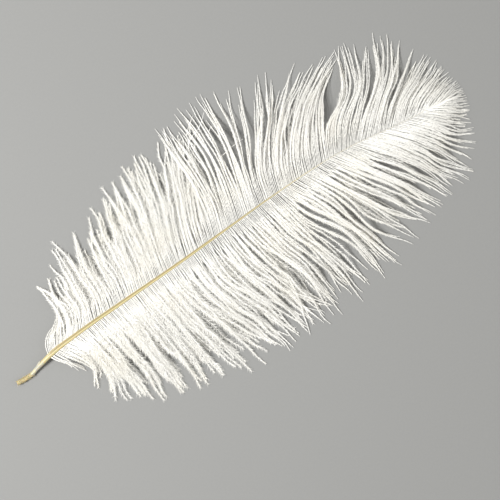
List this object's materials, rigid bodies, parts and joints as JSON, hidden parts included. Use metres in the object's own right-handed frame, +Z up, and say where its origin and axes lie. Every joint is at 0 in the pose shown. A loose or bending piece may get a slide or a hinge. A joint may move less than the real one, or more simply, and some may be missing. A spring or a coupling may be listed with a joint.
{
  "type": "ostrich feather",
  "caption": "White ostrich plume lying flat: a bare curved quill runs on as a tapering shaft between two wide, soft vanes of long loose barbs.",
  "frame": {"origin": "on the table under the middle of the feather's bounding box", "axes": "+X from the quill's cut end towards the plume's end, +Y towards the longer vane, +Z up from the table on which the feather lies"},
  "size_m": [0.2801, 0.1386, 0.011],
  "materials": {
    "plume": "soft dull white barbs with a fine downy edge, cream near the quill",
    "quill": "smooth horny keratin, half-gloss, tan at the cut end, ivory to golden along the shaft"
  },
  "bodies": {
    "root": {"feather": "plume"}
  },
  "joints": []
}
